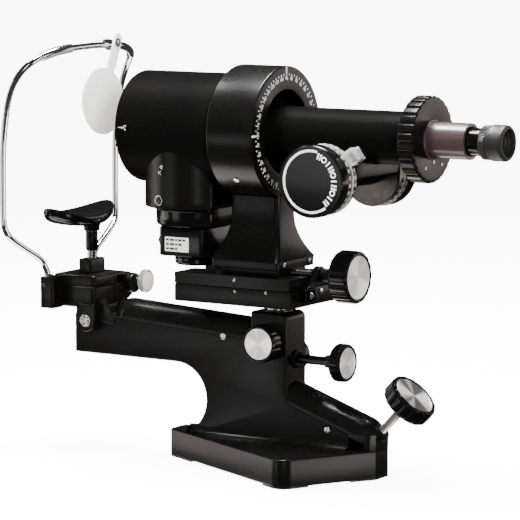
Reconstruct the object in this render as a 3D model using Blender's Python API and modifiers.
"""Keratometer (ophthalmometer) on a bench stand, as separate pieces.

All sizes below are millimetres, and `metres` turns them into Blender's unit where a mesh is made.
Frame: +X is the optical axis towards the examiner, -Y is the examiner's left, +Z is up.
The origin lies on the table, under the middle of the column.
"""

import math

import bmesh
import bpy
import numpy as np
from mathutils import Matrix, Vector

GAP = 0.3                     # clearance between neighbouring solids
STEPS_BIG, STEPS_MID, STEPS_SMALL = 32, 18, 10
STEPS_KNOB = 24

# base casting
FOOT_TOP, FOOT_RELIEF, FOOT_ROUND = 29.0, 3.0, 15.0
FOOT_FRONT, FOOT_REAR, FOOT_TIP_HALF = -122.0, 120.0, 12.0
FOOT_WIDE_X, FOOT_WIDE_HALF = 66.0, 106.0
WEB_HALF = 19.0               # half thickness of arm, column and spine
ARM_FRONT, ARM_BOTTOM, ARM_TOP = -236.0, 99.5, 140.0
ROLL_FRONT, ROLL_FRONT_Z, ROLL_REAR_Z = -174.0, 139.0, 129.5
COLUMN_HALF, COLUMN_TOP, COLUMN_ROUND = 21.0, 158.0, 8.0
THROAT_X, THROAT_Z, THROAT_R = -110.5, 63.0, 36.0
SPINE_TOP, SPINE_LOW = (COLUMN_HALF, 69.0), (112.0, 37.0)
NOSE_LOW, NOSE_TOP, NOSE_END = 20.0, 46.0, 120.5

# lifting post, pinion and lock
POST_R, POST_FOOT, POST_SHOULDER, SPIGOT_R, SPIGOT_TOP = 12.0, 72.0, 166.0, 8.0, 180.5
SLOT_HALF, SLOT_LOW, SLOT_HIGH = 5.4, 98.0, 141.0
PINION_Z, PINION_R, PINION_TEETH = 128.4, 5.0, 10
LOCK_Z, LOCK_R = 111.0, 4.6

# swivelling bed and focusing slide
BED_X0, BED_X1, BED_HALF = -94.0, 41.0, 46.0
BED_Z0, BED_Z1, WAY_Z1 = 166.3, 184.0, 195.5
SCREW_Z, SCREW_R = 197.0, 3.5
FLANGE_Z0, FLANGE_Z1 = 201.5, 212.5

# head
AXIS_Z = 336.3
BARREL_R, BARREL_BORE, BARREL_FRONT = 56.5, 53.5, -159.0
RING_R, RING_X0, RING_X1, RING_BORE = 65.8, -44.0, 9.3, 42.0
TUBE_R, TUBE_BORE, TUBE_END = 26.0, 22.0, 157.0
WHEEL_R, WHEEL_X1 = 42.3, 174.5
EYE_R, EYE_END = 17.7, 216.5
DRUM_X, DRUM_Z, DRUM_R, DIAL_R = 81.0, 297.0, 34.5, 35.3

# lamp stack under the barrel
LAMP_X, LAMP_R, LAMP_Z = -96.5, 52.5, 258.0
SWITCH_X, SWITCH_Z = -125.5, 222.5

# headrest and chin rest
PIVOT_X, PIVOT_Z, EAR_R = -215.0, 134.6, 11.5
ROD_R, ROD_X, ROD_HALF = 3.25, -266.0, 99.5
SOCKET_X, SOCKET_HALF = -254.0, 41.0
CHIN_X, CHIN_R = -227.0, 4.8
CHIN_KNOB_Y, CHIN_KNOB_Z = 40.0, 170.0
PADDLE_X, PADDLE_Y, PADDLE_Z = -216.0, 32.0, 417.6
PADDLE_TILT = math.radians(23.7)

# hand knobs: the flutes round the rim
FLUTE_OUT, FLUTE_R = 4.2, 5.6
FOCUS_KNOB_X, FOCUS_KNOB_LONG, FOCUS_KNOB_R, FOCUS_DISC_R = 71.0, 22.0, 26.3, 21.0

# base lock, on a slanted axis in the plane Y = 0
BASE_LOCK = Vector((117.0, 0.0, 44.0))
CLAMP_REACH = 40.0
BASE_LOCK_AXIS = Vector((math.cos(math.radians(47)), 0.0, math.sin(math.radians(47))))

X, Y, Z = Vector((1, 0, 0)), Vector((0, 1, 0)), Vector((0, 0, 1))


def metres(value):
    return value * 0.001


# ---------------------------------------------------------------- scene and materials

def clear_scene():
    for thing in list(bpy.data.objects):
        bpy.data.objects.remove(thing, do_unlink=True)


def new_collection(name):
    made = bpy.data.collections.new(name)
    bpy.context.scene.collection.children.link(made)
    return made


def finish(name, colour, roughness, metallic=0.0, alpha=1.0):
    material = bpy.data.materials.new(name)
    material.use_nodes = True
    shader = material.node_tree.nodes["Principled BSDF"]
    shader.inputs["Base Color"].default_value = (*colour, 1.0)
    shader.inputs["Roughness"].default_value = roughness
    shader.inputs["Metallic"].default_value = metallic
    shader.inputs["Alpha"].default_value = alpha
    return material


clear_scene()
PARTS = new_collection("keratometer")
HELPERS = new_collection("cutters")
ENAMEL = finish("black_enamel", (0.012, 0.013, 0.013), 0.35)
CRINKLE = finish("fine_black_texture", (0.014, 0.014, 0.014), 0.5)
GLOSS = finish("black_gloss_plastic", (0.01, 0.01, 0.01), 0.15)
RUBBER = finish("black_rubber", (0.03, 0.028, 0.027), 0.75)
BROWN = finish("brown_black_anodised", (0.05, 0.035, 0.035), 0.4, 0.3)
CHROME = finish("chrome", (0.75, 0.75, 0.75), 0.08, 1.0)
ALUMINIUM = finish("spun_aluminium", (0.82, 0.82, 0.8), 0.3, 1.0)
SATIN = finish("satin_chrome_scale", (0.6, 0.6, 0.58), 0.35, 1.0)
STEEL = finish("bright_steel", (0.55, 0.54, 0.52), 0.3, 1.0)
BRASS = finish("brass", (0.7, 0.55, 0.28), 0.3, 1.0)
BRONZE = finish("bronze", (0.5, 0.33, 0.18), 0.4, 1.0)
IVORY = finish("pale_grey_plastic", (0.78, 0.8, 0.77), 0.4)
OPAL = finish("opal_glass", (0.9, 0.9, 0.86), 0.3)
GLASS = finish("clear_glass", (0.85, 0.9, 0.9), 0.03, 0.0, 0.35)


# ---------------------------------------------------------------- making solids

def object_of(name, mesh, material, helper=False):
    made = bpy.data.objects.new(name, mesh)
    (HELPERS if helper else PARTS).objects.link(made)
    if material is not None:
        mesh.materials.append(material)
    if helper:
        made.hide_render = True
        made.display_type = "WIRE"
    return made


def frame_at(point, direction):
    """The matrix that puts local Z along direction, at point (millimetres)."""
    turn = Z.rotation_difference(Vector(direction)).to_matrix().to_4x4()
    return Matrix.Translation(Vector(point) * metres(1)) @ turn


def smooth_shaded(mesh, angle=35.0):
    mesh.shade_smooth()
    mesh.set_sharp_from_angle(angle=math.radians(angle))


def turned(name, profile, point, direction, material, steps=STEPS_MID, ring=False, helper=False):
    """A turned piece. The profile lists (radius, height) down the outer side; a ring's profile closes."""
    mesh = bpy.data.meshes.new(name)
    points = [(metres(r), 0.0, metres(h)) for r, h in profile]
    edges = [(i, i + 1) for i in range(len(points) - 1)]
    if ring:
        edges.append((len(points) - 1, 0))
    mesh.from_pydata(points, edges, [])
    made = object_of(name, mesh, material, helper)
    made.matrix_world = frame_at(point, direction)
    screw = made.modifiers.new("turn", "SCREW")
    screw.steps = steps
    screw.render_steps = steps
    screw.use_merge_vertices = True
    screw.merge_threshold = 0.00002
    screw.use_smooth_shade = True
    return made


def rod(name, radius, start, end, point, direction, material, steps=STEPS_SMALL, helper=False):
    """A plain round bar from height start to height end along direction."""
    outline = [(0.0, end), (radius, end), (radius, start), (0.0, start)]
    return turned(name, outline, point, direction, material, steps, helper=helper)


def sleeve(name, outer, inner, start, end, point, direction, material, steps=STEPS_MID, helper=False):
    """A plain tube from height start to height end along direction."""
    outline = [(inner, end), (outer, end), (outer, start), (inner, start)]
    return turned(name, outline, point, direction, material, steps, ring=True, helper=helper)


def mesh_object(name, work, material, helper):
    bmesh.ops.recalc_face_normals(work, faces=work.faces)
    mesh = bpy.data.meshes.new(name)
    work.to_mesh(mesh)
    work.free()
    return object_of(name, mesh, material, helper)


def block(name, low, high, material=None, helper=False, round_edges=0.0, round_axis=None):
    """A box between two corners, with the edges along round_axis (or all edges) rounded."""
    low, high = Vector(low) * metres(1), Vector(high) * metres(1)
    work = bmesh.new()
    bmesh.ops.create_cube(work, size=1.0)
    bmesh.ops.scale(work, vec=high - low, verts=work.verts)
    bmesh.ops.translate(work, vec=(low + high) / 2, verts=work.verts)
    if round_edges:
        edges = [e for e in work.edges if round_axis is None or along(e, round_axis)]
        bmesh.ops.bevel(work, geom=edges, offset=metres(round_edges), segments=3, profile=0.5,
                        affect="EDGES")
    return mesh_object(name, work, material, helper)


def along(edge, axis):
    span = edge.verts[1].co - edge.verts[0].co
    return abs(span.normalized().dot(axis)) > 0.99


def plate(name, outline, thickness, basis, material=None, helper=False):
    """A flat outline, thickened to both sides. basis is (origin, first axis, second axis)."""
    curve = bpy.data.curves.new(name, "CURVE")
    curve.dimensions = "2D"
    curve.fill_mode = "BOTH"
    curve.extrude = metres(thickness / 2)
    spline = curve.splines.new("POLY")
    spline.points.add(len(outline) - 1)
    for point, (u, v) in zip(spline.points, outline):
        point.co = (metres(u), metres(v), 0.0, 1.0)
    spline.use_cyclic_u = True
    origin, first, second = basis
    third = first.cross(second)
    matrix = Matrix((first, second, third)).transposed().to_4x4()
    matrix.translation = Vector(origin) * metres(1)
    return mesh_from_curve(name, curve, matrix, material, helper)


def tube_along(name, points, radius, material=None, helper=False):
    """A round bar of the given radius along a list of points."""
    curve = bpy.data.curves.new(name, "CURVE")
    curve.dimensions = "3D"
    curve.bevel_depth = metres(radius)
    curve.bevel_resolution = 2
    curve.use_fill_caps = True
    spline = curve.splines.new("POLY")
    spline.points.add(len(points) - 1)
    for point, place in zip(spline.points, points):
        point.co = (*(Vector(place) * metres(1)), 1.0)
    return mesh_from_curve(name, curve, Matrix.Identity(4), material, helper)


def mesh_from_curve(name, curve, matrix, material, helper):
    source = bpy.data.objects.new(name + "_curve", curve)
    HELPERS.objects.link(source)
    source.matrix_world = matrix
    bpy.context.view_layer.update()
    graph = bpy.context.evaluated_depsgraph_get()
    mesh = bpy.data.meshes.new_from_object(source.evaluated_get(graph))
    bpy.data.objects.remove(source, do_unlink=True)
    mesh.materials.clear()
    work = bmesh.new()
    work.from_mesh(mesh)
    bmesh.ops.remove_doubles(work, verts=work.verts, dist=0.000002)
    bmesh.ops.recalc_face_normals(work, faces=work.faces)
    work.to_mesh(mesh)
    work.free()
    mesh.name = name
    made = object_of(name, mesh, material, helper)
    made.matrix_world = matrix
    return made


def combine(target, operation, *others):
    for other in others:
        step = target.modifiers.new(other.name, "BOOLEAN")
        step.operation = operation
        step.solver = "EXACT"
        step.object = other
    return target


def cut(target, *cutters):
    return combine(target, "DIFFERENCE", *cutters)


def join(target, *others):
    return combine(target, "UNION", *others)


def arc(centre, radius, start, end, count):
    """Points on an arc, angles in degrees."""
    angles = np.radians(np.linspace(start, end, count))
    return [(centre[0] + radius * math.cos(a), centre[1] + radius * math.sin(a)) for a in angles]


def smooth_route(points, parts):
    """Catmull-Rom through the points, with so many parts to each span."""
    route = [Vector(p) for p in points]
    route = [2 * route[0] - route[1], *route, 2 * route[-1] - route[-2]]
    made = []
    for a, b, c, d in zip(route, route[1:], route[2:], route[3:]):
        for i in range(parts):
            t = i / parts
            made.append(0.5 * (2 * b + (c - a) * t + (2 * a - 5 * b + 4 * c - d) * t * t
                               + (3 * b - a - 3 * c + d) * t ** 3))
    made.append(route[-2])
    return made


# ---------------------------------------------------------------- base casting and post

def rounded(corners, radius, parts=4):
    """The outline with each corner replaced by a short arc of the given radius."""
    made = []
    for before, corner, after in zip(corners[-1:] + corners[:-1], corners, corners[1:] + corners[:1]):
        corner = Vector(corner)
        back, ahead = (Vector(before) - corner).normalized(), (Vector(after) - corner).normalized()
        half = back.angle(ahead) / 2
        centre = corner + (back + ahead).normalized() * (radius / math.sin(half))
        start, end = corner + back * (radius / math.tan(half)), corner + ahead * (radius / math.tan(half))
        for i in range(parts + 1):
            spoke = (start - centre).normalized().slerp((end - centre).normalized(), i / parts)
            made.append(tuple(centre + spoke * radius))
    return made


def foot_outline():
    """A long hexagon with two wide rounded corners."""
    near = [(FOOT_FRONT, FOOT_TIP_HALF), (FOOT_WIDE_X, FOOT_WIDE_HALF), (FOOT_REAR, FOOT_TIP_HALF)]
    corners = near + [(x, -y) for x, y in reversed(near)]
    wide = rounded(corners, FOOT_ROUND)
    tight = rounded(corners, 3.0)
    made = []
    for i in range(6):
        source = wide if i in (1, 4) else tight
        made += source[i * 5:i * 5 + 5]
    return made


def relief_cutters():
    """Shallow arches along the four long edges of the foot's underside."""
    made = []
    for side in (-1, 1):
        for x0, inset in ((FOOT_FRONT, 34), (FOOT_REAR, 24)):
            start = Vector((x0, side * FOOT_TIP_HALF, 0))
            end = Vector((FOOT_WIDE_X, side * FOOT_WIDE_HALF, 0))
            run = (end - start).normalized()
            a, b = start + run * inset * 0.6, end - run * inset
            width = Vector((-run.y, run.x, 0)) * 16
            outline = [(c.x, c.y) for c in (a - width, b - width, b + width, a + width)]
            name = f"foot_relief_{len(made)}"
            made.append(plate(name, outline, 2 * FOOT_RELIEF, (Vector(), X, Y), helper=True))
    return made


def web_outline():
    """Side view of arm, column and rear spine as one thick web."""
    throat = arc((THROAT_X, THROAT_Z), THROAT_R, 90, -71, 14)
    crown = arc((COLUMN_HALF - COLUMN_ROUND, COLUMN_TOP - COLUMN_ROUND), COLUMN_ROUND, 0, 90, 5)
    return [(ARM_FRONT, ARM_BOTTOM), *throat, (-97, 12), (SPINE_LOW[0], 12), SPINE_LOW, SPINE_TOP, *crown,
            (-COLUMN_HALF, COLUMN_TOP), (-COLUMN_HALF, ROLL_REAR_Z), (ROLL_FRONT, ROLL_FRONT_Z),
            (ROLL_FRONT - 6, ARM_TOP), (ARM_FRONT, ARM_TOP)]


def round_bar(name, start, end, radius, domed):
    """A bar between two points of the plane Y = 0, with a ball at its start."""
    a, b = Vector((start[0], 0, start[1])), Vector((end[0], 0, end[1]))
    length = (b - a).length
    ball = [(radius * math.cos(t), -radius * math.sin(t)) for t in np.radians(np.linspace(15, 90, 6))]
    ball[-1] = (0.0, ball[-1][1])
    profile = [(0.0, length), (radius, length), (radius, 0.0)] + (ball if domed else [(0.0, 0.0)])
    return turned(name, profile, a, (b - a).normalized(), None, STEPS_MID, helper=True)


def base_casting():
    foot = plate("base_casting", foot_outline(), FOOT_TOP, ((0, 0, FOOT_TOP / 2), X, Y), ENAMEL)
    smooth_shaded(foot.data)
    web = plate("web", web_outline(), 2 * WEB_HALF, (Vector(), X, Z), helper=True)
    roll = round_bar("arm_roll", (ROLL_FRONT, ROLL_FRONT_Z), (-15, ROLL_REAR_Z), WEB_HALF - 0.02, True)
    spine = round_bar("rear_spine", (101, 41.6), (10, 73), WEB_HALF - 0.02, False)
    nose = plate("nose", [(95, 18.8), (115, 18.8), (NOSE_END, 12),
                          (NOSE_END, -12), (115, -18.8), (95, -18.8)], NOSE_TOP - NOSE_LOW,
                 ((0, 0, (NOSE_TOP + NOSE_LOW) / 2), X, Y), helper=True)
    boss = turned("far_boss", [(0, 12), (13, 12), (16, 9), (16, -3), (0, -3)],
                  (4.6, WEB_HALF, LOCK_Z), Y, None, STEPS_MID, helper=True)
    join(foot, web, roll, spine, nose, boss)
    bore = turned("post_bore", [(0, 40), (15, 40), (15, -22), (POST_R + 0.4, -22), (POST_R + 0.4, -96),
                                (0, -96)], (0, 0, COLUMN_TOP), Z, None, helper=True)
    shaft = rod("pinion_shaft_bore", 4.4, -17.5, 40, (0, 0, PINION_Z), -Y, None, helper=True)
    lock = rod("lock_bore", LOCK_R + 0.4, 5, 60, (0, 0, LOCK_Z), X, None, helper=True)
    stud = rod("base_lock_bore", 4.4, -32, 30, BASE_LOCK, BASE_LOCK_AXIS, None, helper=True)
    screws = rod("pivot_bore", 4.4, -60, 60, (PIVOT_X, 0, PIVOT_Z), Y, None, helper=True)
    cut(foot, bore, shaft, lock, stud, screws, *relief_cutters())


def knob(name, radius, thickness, point, direction, shaft_r, disc_r, material=GLOSS, lobes=0):
    """A round knob from height 0 to thickness, its shaft's socket behind and its disc's seat in front."""
    seat, socket = thickness - 2.0, thickness * 0.6
    profile = [(disc_r + 0.4, seat), (disc_r + 0.4, thickness), (radius - 1.2, thickness),
               (radius, thickness - 1.5), (radius, 1.5), (radius - 1.5, 0),
               (shaft_r + 0.3, 0), (shaft_r + 0.3, socket), (0, socket)]
    made = turned(name, [(0, seat), *profile], point, direction, material, STEPS_KNOB)
    place = frame_at(point, direction)
    for i in range(lobes):
        angle = 2 * math.pi * i / lobes
        reach = metres(radius + FLUTE_OUT)
        spot = place @ Vector((reach * math.cos(angle), reach * math.sin(angle), 0))
        cut(made, rod(f"{name}_flute_{i}", FLUTE_R, -2, thickness + 2, spot * 1000, direction, None, 6,
                      helper=True))
    return made


def knob_disc(name, radius, thickness, point, direction):
    rod(name, radius, thickness - 1.7, thickness - 0.2, point, direction, ALUMINIUM, STEPS_KNOB)


def column_parts():
    sleeve("column_bush", 14.7, POST_R + 0.3, -21.7, -0.3, (0, 0, COLUMN_TOP), Z, BRONZE)
    post = turned("elevating_post", [(0, SPIGOT_TOP), (SPIGOT_R, SPIGOT_TOP), (SPIGOT_R, POST_SHOULDER),
                                     (POST_R, POST_SHOULDER), (POST_R, POST_FOOT), (0, POST_FOOT)],
                  (0, 0, 0), Z, STEEL)
    cut(post, block("post_slot", (-SLOT_HALF, -20, SLOT_LOW), (SLOT_HALF, 20, SLOT_HIGH), helper=True))
    pitch = 2 * math.pi * (PINION_R - 0.6) / PINION_TEETH
    for i in range(13):
        z = SLOT_LOW + 4 + i * pitch
        low, high = (SLOT_HALF - 0.5, -8, z - 0.7), (SLOT_HALF + 1.6, 8, z + 0.7)
        cut(post, block(f"rack_notch_{i}", low, high, helper=True))
    shaft = rod("elevation_pinion", 4.0, -16.8, 30, (0, 0, PINION_Z), -Y, STEEL)
    join(shaft, pinion_teeth())
    place = (0, -22, PINION_Z)
    knob("elevation_knob", 19.0, 17.0, place, -Y, 4.0, 16.0, GLOSS, 12)
    knob_disc("elevation_disc", 16.0, 17.0, place, -Y)
    rod("lock_pad", 3.6, 12.7, 17.0, (0, 0, LOCK_Z), X, BRASS)
    rod("lock_screw", LOCK_R, 17.3, 74.0, (0, 0, LOCK_Z), X, STEEL)
    knob("lock_knob", 19.2, 13.3, (67.7, 0, LOCK_Z), X, LOCK_R, 15.6, GLOSS, 12)
    knob_disc("lock_disc", 15.6, 13.3, (67.7, 0, LOCK_Z), X)


def pinion_teeth():
    """The toothed middle of the shaft; its tips stay just clear of the rack."""
    outline = []
    for i in range(PINION_TEETH):
        middle = 360 / PINION_TEETH * i
        for radius, turn in ((PINION_R - 1.0, -12), (PINION_R, -6), (PINION_R, 6), (PINION_R - 1.0, 12)):
            outline += arc((0, 0), radius, middle + turn, middle + turn, 1)
    return plate("pinion_teeth", outline, 14, ((0, 0, PINION_Z), X, Z), helper=True)


def base_lock():
    rod("clamp_shoe", 3.6, -25.0, -20.3, BASE_LOCK, BASE_LOCK_AXIS, BRASS)
    rod("clamp_stud", 3.8, -20.0, CLAMP_REACH + 9.0, BASE_LOCK, BASE_LOCK_AXIS, BRASS)
    start = BASE_LOCK + BASE_LOCK_AXIS * CLAMP_REACH
    knob("clamp_knob", 26.0, 18.0, start, BASE_LOCK_AXIS, 3.8, 22.0, GLOSS, 16)
    knob_disc("clamp_disc", 22.0, 18.0, start, BASE_LOCK_AXIS)


# ---------------------------------------------------------------- bed, slide and focus screw

def bed_parts():
    bed = block("lower_plate", (BED_X0, -BED_HALF, BED_Z0), (BED_X1, BED_HALF, BED_Z1), ENAMEL)
    cut(bed, rod("spigot_bore", SPIGOT_R + 0.3, 150, 181, (0, 0, 0), Z, None, STEPS_MID, helper=True))
    way = block("upper_plate", (BED_X0, -BED_HALF, BED_Z1 + GAP), (BED_X1, BED_HALF, WAY_Z1), ENAMEL)
    cut(way, block("key_groove", (BED_X0 - 5, -10, 190), (BED_X1 + 5, 10, 210), helper=True))
    bracket = block("screw_bracket", (BED_X1 + GAP, -28, 172), (BED_X1 + 8.3, -10, BED_Z1), ENAMEL)
    arm = plate("bracket_arm", [(-27, 176), (-12, 176), (6, 190), (6, 203), (-6, 203), (-16, 188)], 6.0,
                ((BED_X1 + 5.3, 0, 0), Y, Z), helper=True)
    boss = rod("bracket_boss", 8.5, 43.3, 51, (0, 0, SCREW_Z), X, None, STEPS_MID, helper=True)
    eye = rod("bracket_eye", SCREW_R + 0.4, 30, 60, (0, 0, SCREW_Z), X, None, helper=True)
    cut(join(bracket, arm, boss), eye)
    place = (FOCUS_KNOB_X, 0, SCREW_Z)
    rod("lead_screw", SCREW_R, -48, FOCUS_KNOB_X + 12.5, (0, 0, SCREW_Z), X, STEEL)
    made = knob("focus_knob", FOCUS_KNOB_R, FOCUS_KNOB_LONG, place, X, SCREW_R, FOCUS_DISC_R, GLOSS, 16)
    join(made, sleeve("focus_collar", 6.5, SCREW_R + GAP, 51.3, FOCUS_KNOB_X + 1.5, (0, 0, SCREW_Z), X, None,
                      STEPS_SMALL, helper=True))
    knob_disc("focus_disc", FOCUS_DISC_R, FOCUS_KNOB_LONG, place, X)


def rounded_section(x0, x1, half, corner, z):
    """A rounded rectangle at height z, with three points to each corner."""
    ring = []
    for cx, cy, start in ((x1 - corner, half - corner, 0), (x0 + corner, half - corner, 90),
                          (x0 + corner, corner - half, 180), (x1 - corner, corner - half, 270)):
        ring += [(u, v, z) for u, v in arc((cx, cy), corner, start, start + 90, 3)]
    return ring


def pedestal():
    """A flared column on a flange, with a key below that slides in the bed and takes the lead screw."""
    work = bmesh.new()
    rings = []
    for z in (FLANGE_Z1 - 2, 216, 221, 228, 238, 255, 310):
        q = max(0.0, (255 - z) / 41)
        rings.append(rounded_section(-46 - 11 * q * q, 10 + 10.5 * q * q, 17 + 17 * q * q, 5, z))
    layers = [[work.verts.new(Vector(p) * metres(1)) for p in ring] for ring in rings]
    count = len(rings[0])
    for low, high in zip(layers, layers[1:]):
        for i in range(count):
            j = (i + 1) % count
            work.faces.new((low[i], low[j], high[j], high[i]))
    work.faces.new(reversed(layers[0]))
    work.faces.new(layers[-1])
    made = mesh_object("pedestal", work, ENAMEL, False)
    smooth_shaded(made.data, 40)
    flange = block("pedestal_flange", (-57, -35, FLANGE_Z0), (21, 35, FLANGE_Z1), None, True, 3.0, Z)
    key = block("saddle_key", (-45, -9.6, 190.4), (8, 9.6, FLANGE_Z0 + 2), helper=True)
    foot = block("saddle_foot", (-52, -27, WAY_Z1 + 0.5), (16, 27, FLANGE_Z0 + 2), helper=True)
    saddle = rod("ring_clearance", RING_R + GAP, -80, 40, (0, 0, AXIS_Z), X, None, STEPS_BIG, helper=True)
    bore = rod("screw_clearance", SCREW_R + 0.4, -80, 40, (0, 0, SCREW_Z), X, None, helper=True)
    cut(join(made, flange, key, foot), saddle, bore)


# ---------------------------------------------------------------- head: barrel, ring and lamp

def on_axis(name, profile, material, steps=STEPS_BIG, ring=False):
    """A piece turned about the optical axis; heights are X, from high to low along the outer side."""
    return turned(name, profile, (0, 0, AXIS_Z), X, material, steps, ring)


def head_parts():
    on_axis("ring_housing", [(RING_BORE, RING_X1), (RING_R - 1, RING_X1), (RING_R, RING_X1 - 1),
                             (RING_R, RING_X0 + 1), (RING_R - 1, RING_X0), (50, RING_X0),
                             (50, RING_X0 + 4), (60.5, RING_X0 + 4), (60.5, RING_X1 - 5),
                             (RING_BORE, RING_X1 - 5)], ENAMEL, ring=True)
    barrel = on_axis("barrel", [(BARREL_BORE, RING_X0 - GAP), (BARREL_R, RING_X0 - GAP),
                                (BARREL_R, BARREL_FRONT + 1.5), (BARREL_R - 1.5, BARREL_FRONT),
                                (BARREL_BORE, BARREL_FRONT)], CRINKLE, ring=True)
    cut(barrel, rod("light_port", 33, -75, -30, (LAMP_X, 0, AXIS_Z), Z, None, STEPS_MID, helper=True))
    on_axis("mire_plate", [(17, -155), (53.2, -155), (53.2, -158), (17, -158)], OPAL, ring=True)
    plate("reflector", [(-16, -22), (16, -22), (16, 22), (-16, 22)], 2.0,
          ((LAMP_X, 0, 301), (X - Z).normalized(), Y), ALUMINIUM)
    lamp = turned("lamp_housing", [(22, 0), (LAMP_R, 0), (LAMP_R, 62), (LAMP_R - 3, 62), (LAMP_R - 3, 3),
                                   (22, 3)],
                  (LAMP_X, 0, LAMP_Z), Z, ENAMEL, STEPS_BIG, ring=True)
    flat = block("lamp_flat", (-57, -70, 240), (20, 70, 340), helper=True)
    cut(lamp, flat, rod("barrel_clearance", BARREL_R + GAP, -200, 40, (0, 0, AXIS_Z), X, None, STEPS_BIG,
                        helper=True))
    socket = turned("lamp_socket", [(10.5, 0), (39, 0), (42.5, -2.5), (42.5, -17), (40.5, -19.4),
                                    (10.5, -19.4)],
                    (LAMP_X, 0, LAMP_Z - GAP), Z, GLOSS, STEPS_BIG, ring=True)
    cut(socket, block("socket_flat", (-63, -70, 220), (20, 70, 300), helper=True))
    turned("lamp_bulb", [(0, 34), (6, 32), (9.5, 26), (9.5, 14), (6, 8), (9.7, 4), (9.7, -17), (0, -17)],
           (LAMP_X, 0, LAMP_Z), Z, OPAL, STEPS_SMALL)
    box = block("switch_box", (SWITCH_X, -28, 208), (-71.5, 28, 238), GLOSS, False, 5.0, Z)
    cut(box, rod("switch_bore", 2.6, 10, 60, (LAMP_X, -14, SWITCH_Z), -X, None, helper=True))
    turned("switch_knob", [(0, 7), (3.5, 6.6), (6.5, 4.2), (8, 0.3), (2.2, 0.3), (2.2, -12), (0, -12)],
           (SWITCH_X, -14, SWITCH_Z), -X, GLOSS, STEPS_SMALL)
    turned("lamp_cap", [(0, 9.2), (22.7, 9.2), (22.7, 2), (20.5, 0), (0, 0)], (LAMP_X, 0, 198.5), Z, GLOSS)


# ---------------------------------------------------------------- rotating telescope

def telescope_parts():
    on_axis("telescope_tube", [(TUBE_BORE, TUBE_END), (TUBE_R, TUBE_END), (TUBE_R, -14), (59.6, -14),
                               (59.6, -22), (20, -22), (20, -150), (17, -150), (17, -20), (TUBE_BORE, -20)],
            ENAMEL, ring=True)
    on_axis("objective_lens", [(0, -109), (9, -110.4), (16.7, -113), (16.7, -117), (9, -118.6), (0, -119)],
            GLASS, STEPS_SMALL)
    for name, start in (("horizontal_prism", 20), ("vertical_prism", 60)):
        on_axis(name, [(8, start + 8), (21.4, start + 8), (21.4, start), (8, start)], GLASS, ring=True,
                steps=STEPS_MID)
    housing = block("cross_housing", (50, -42, 298), (113.5, 42, 322), ENAMEL)
    smooth_shaded(housing.data)
    bearing = rod("drum_bearing", 12, -42, 42, (DRUM_X, 0, DRUM_Z), Y, None, STEPS_MID, helper=True)
    cut(join(housing, bearing),
        rod("tube_clearance", TUBE_R + GAP, 0, 150, (0, 0, AXIS_Z), X, None, STEPS_BIG, helper=True),
        rod("drum_bore", 5.4, -60, 60, (DRUM_X, 0, DRUM_Z), Y, None, helper=True))
    for side, drum, dial, index in ((-1, "horizontal_drum", "horizontal_dial", "index_near"),
                                    (1, "vertical_drum", "vertical_dial", "index_far")):
        measuring_drum(side, drum, dial)
        drum_index(side, index)
    wheel = on_axis("axis_wheel", [(18, WHEEL_X1), (WHEEL_R - 1, WHEEL_X1), (WHEEL_R, WHEEL_X1 - 1),
                                   (WHEEL_R, TUBE_END + 1.3), (WHEEL_R - 1, TUBE_END + GAP),
                                   (18, TUBE_END + GAP)],
                    ENAMEL, 48, ring=True)
    for i in range(24):
        angle = 2 * math.pi * (i + 0.5) / 24
        spot = Vector((150, (WHEEL_R + 3.4) * math.cos(angle), AXIS_Z + (WHEEL_R + 3.4) * math.sin(angle)))
        cut(wheel, rod(f"wheel_flute_{i}", 4.6, 0, 30, spot, X, None, 6, helper=True))
    on_axis("eyepiece_tube", [(14.2, EYE_END), (EYE_R, EYE_END), (EYE_R, 152), (TUBE_BORE - GAP, 152),
                              (TUBE_BORE - GAP, 146), (14.2, 146)], BROWN, STEPS_MID, ring=True)
    on_axis("focusing_barrel", [(0, 229), (13.5, 229), (13.5, 205), (10.5, 205), (10.5, 224), (0, 224)],
            GLOSS, STEPS_MID)
    on_axis("eyecup", [(0, 243), (13, 243), (13, 256), (16.4, 256), (17.7, 254), (17.7, 238.6), (16.8, 238.2),
                       (16.8, 231), (15.6, 230), (9, 229.3), (0, 229.3)], RUBBER, STEPS_MID)


def measuring_drum(side, drum, dial):
    """Graduated sleeve with its shaft, and the black hand dial on its face."""
    point = (DRUM_X, 0, DRUM_Z)
    turned(drum, [(0, 59.7), (DRUM_R, 59.7), (DRUM_R, 43.5), (DRUM_R - 1, 42.5), (5, 42.5), (5, 30), (0, 30)],
           point, Y * side, SATIN, STEPS_BIG)
    turned(dial, [(0, 73.5), (30.5, 73.5), (DIAL_R, 71), (DIAL_R, 61.4), (DIAL_R - 1.4, 60), (0, 60)],
           point, Y * side, GLOSS, STEPS_BIG)


def drum_index(side, name):
    """The clear pointer block over the drum's rear edge."""
    angle = math.radians(35)
    out, over = Vector((math.cos(angle), 0, math.sin(angle))), Vector((-math.sin(angle), 0, math.cos(angle)))
    centre = Vector((DRUM_X, side * 51.0, DRUM_Z)) + out * 42.5
    made = plate(name, [(-6, -7), (6, -7), (6, 7), (-6, 7)], 17, (centre, out, over), GLASS)
    arm = plate(name + "_arm", [(-5, -6), (5, -6), (5, 6), (-5, 6)], 11,
                (Vector((DRUM_X, side * 39.5, DRUM_Z)) + out * 42.5, out, over), helper=True)
    join(made, arm)
    cut(made, block(name + "_clearance", (DRUM_X - 40, -42.3, 280), (113.8, 42.3, 322.3), helper=True))


# ---------------------------------------------------------------- headrest and chin rest

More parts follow.
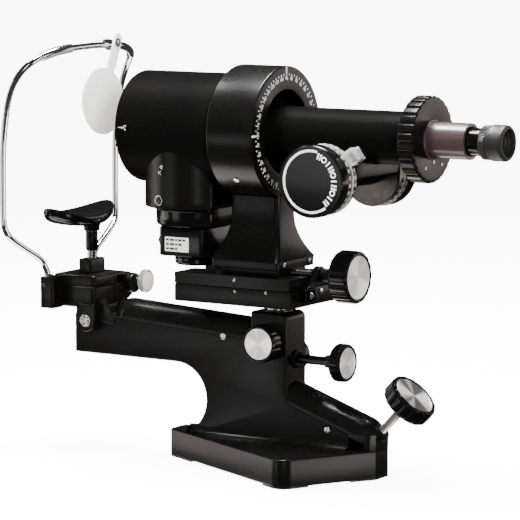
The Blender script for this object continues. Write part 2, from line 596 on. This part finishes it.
def loop_route():
    """The bent rod: out of its socket, out and up, then a forward-leaning bow across the forehead."""
    half = [(SOCKET_X, SOCKET_HALF, 152), (SOCKET_X, SOCKET_HALF, 166), (SOCKET_X, SOCKET_HALF, 180),
            (-254.6, 42.6, 187), (-257, 50, 198), (-260, 73, 211),
            (-262.6, 92, 223), (-265, 98.2, 233), (ROD_X, ROD_HALF, 246), (ROD_X, ROD_HALF, 290),
            (ROD_X, ROD_HALF, 340), (-264.7, 98.3, 360), (-260.7, 96.8, 370), (-254.5, 95.2, 380),
            (-246.4, 94, 390), (-237.2, 90.2, 400), (-233.4, 86.2, 404), (-229.2, 75.1, 411),
            (-225, 50, 414), (-223, 24, 415.2)]
    near = [(x, -y, z) for x, y, z in half]
    return smooth_route([*near, (-222, 0, 415.5), *reversed(half)], 2)


def headrest_parts():
    route = loop_route()
    smooth_shaded(tube_along("headrest_loop", route, ROD_R, CHROME).data, 60)
    clear = tube_along("rod_clearance", route, ROD_R + GAP, helper=True)
    band = [p for p in route if p.z > 409]
    cut(tube_along("forehead_sleeve", [p for p in band if -68 < p.y < -28], 5.0, RUBBER), clear)
    clamp = block("occluder_clamp", (-231, PADDLE_Y - 8, 408.5), (-217.6, PADDLE_Y + 8, 421.5), CHROME,
                  False, 1.5, Y)
    pivot = (PADDLE_X, PADDLE_Y, PADDLE_Z)
    cut(clamp, clear, rod("stud_clearance", 2.2, -5, 20, pivot, X, None, helper=True))
    paddle()
    bracket()
    for name, side in (("ear_screw_near", -1), ("ear_screw_far", 1)):
        turned(name, [(0, 13.5), (5.0, 13.5), (6, 12.5), (6, 11.3), (4, 11.3), (4, -9), (0, -9)],
               (PIVOT_X, side * WEB_HALF, PIVOT_Z), Y * side, STEEL, STEPS_SMALL)


def paddle():
    """A round screen on a tapered stem that hangs, a little swung in, from its pivot."""
    reach = 64.5
    rim = [(37 * math.sin(a), -reach + 34 * math.cos(a)) for a in np.radians(np.linspace(7, 353, 35))]
    outline = [(6.5, -14), *rim, (-6.5, -14), (-6, 6), (-3, 10.5), (3, 10.5), (6, 6)]
    down = Vector((0, math.sin(PADDLE_TILT), math.cos(PADDLE_TILT)))
    across = Vector((0, math.cos(PADDLE_TILT), -math.sin(PADDLE_TILT)))
    pivot = (PADDLE_X, PADDLE_Y, PADDLE_Z)
    made = plate("occluder_paddle", outline, 2.0, (pivot, across, down), IVORY)
    join(made, rod("paddle_stud", 1.7, -4.5, 2.2, pivot, X, None, helper=True))


def bracket():
    """The yoke that carries rods and chin rest, on two ears that straddle the front of the arm."""
    made = block("headrest_bracket", (-256, -29, 165), (-204, 29, 181), ENAMEL, False, 1.5, Y)
    shapes = [block("bracket_lower", (-255, -28, 147), (-205, 28, 166), helper=True),
              block("bracket_pad", (-232, -17, ARM_TOP + GAP), (-206, 17, 148), helper=True),
              block("chin_boss", (-235, 27, 150), (-198, 47, 178), None, True, 3.0, X)]
    for side in (-1, 1):
        inner, outer = sorted((side * 27, side * 47))
        low, high = (-260, inner, 146.6), (-243.5, outer, 179)
        shapes.append(block(f"rod_clamp_{side}", low, high, None, True, 2.0, Z))
        drop = [(-EAR_R, 18), *arc((0, 0), EAR_R, 180, 360, 11), (EAR_R, 18)]
        middle = (PIVOT_X, side * 24.6, PIVOT_Z)
        shapes.append(plate(f"ear_{side}", drop, 10.6, (middle, X, Z), helper=True))
    join(made, *shapes)
    cutters = [rod("chin_bore", CHIN_R + 0.5, 143.5, 220, (CHIN_X, 0, 0), Z, None, helper=True),
               rod("chin_shaft_bore", 3.4, -240, -100, (0, CHIN_KNOB_Y, CHIN_KNOB_Z), X, None, helper=True),
               rod("ear_bore", 4.4, -60, 60, (PIVOT_X, 0, PIVOT_Z), Y, None, helper=True)]
    for side in (-1, 1):
        foot = (SOCKET_X, side * SOCKET_HALF, 0)
        cutters.append(rod(f"rod_socket_{side}", ROD_R + 0.35, 151, 200, foot, Z, None, helper=True))
    cut(made, *cutters)


def chin_parts():
    guide = block("chin_guide", (CHIN_X - 7.5, -13.5, 181.3), (CHIN_X + 7.5, 13.5, 196), ENAMEL)
    cut(guide, rod("guide_bore", CHIN_R + 0.5, 170, 200, (CHIN_X, 0, 0), Z, None, helper=True))
    rod("chin_post", CHIN_R, 152, 232, (CHIN_X, 0, 0), Z, STEEL)
    sleeve("chin_sleeve", 6.0, CHIN_R + GAP, 204.0, 223.7, (CHIN_X, 0, 0), Z, GLOSS)
    top = [(y, 240 + 11 * (y / 53) ** 2) for y in np.linspace(53, -53, 13)]
    under = [(y, 233.5 + 11.5 * (y / 53) ** 2) for y in np.linspace(-51, 51, 11)]
    cup = plate("chin_cup", [*top, *under], 46, ((-243, 0, 0), Y, Z), GLOSS)
    smooth_shaded(cup.data)
    oval = [(23 * math.cos(a), 53 * math.sin(a)) for a in np.linspace(0, 2 * math.pi, 33)[:-1]]
    plan = plate("cup_plan", oval, 60, ((-243, 0, 240), X, Y), helper=True)
    combine(cup, "INTERSECT", plan)
    hub = turned("cup_hub", [(0, 13), (9.5, 13), (8.2, 6), (8.2, 0), (0, 0)], (CHIN_X, 0, 224.3), Z, None,
                 helper=True)
    cut(join(cup, hub), rod("hub_bore", CHIN_R + GAP, 210, 232.4, (CHIN_X, 0, 0), Z, None, helper=True))
    rod("chin_shaft", 3.0, -235, -187, (0, CHIN_KNOB_Y, CHIN_KNOB_Z), X, STEEL)
    knob("chin_knob", 12.3, 6.0, (-190, CHIN_KNOB_Y, CHIN_KNOB_Z), X, 3.0, 10.4, GLOSS)
    rod("chin_disc", 10.4, -185.7, -184.2, (0, CHIN_KNOB_Y, CHIN_KNOB_Z), X, IVORY, STEPS_KNOB)


base_casting()
column_parts()
base_lock()
bed_parts()
pedestal()
head_parts()
telescope_parts()
headrest_parts()
chin_parts()
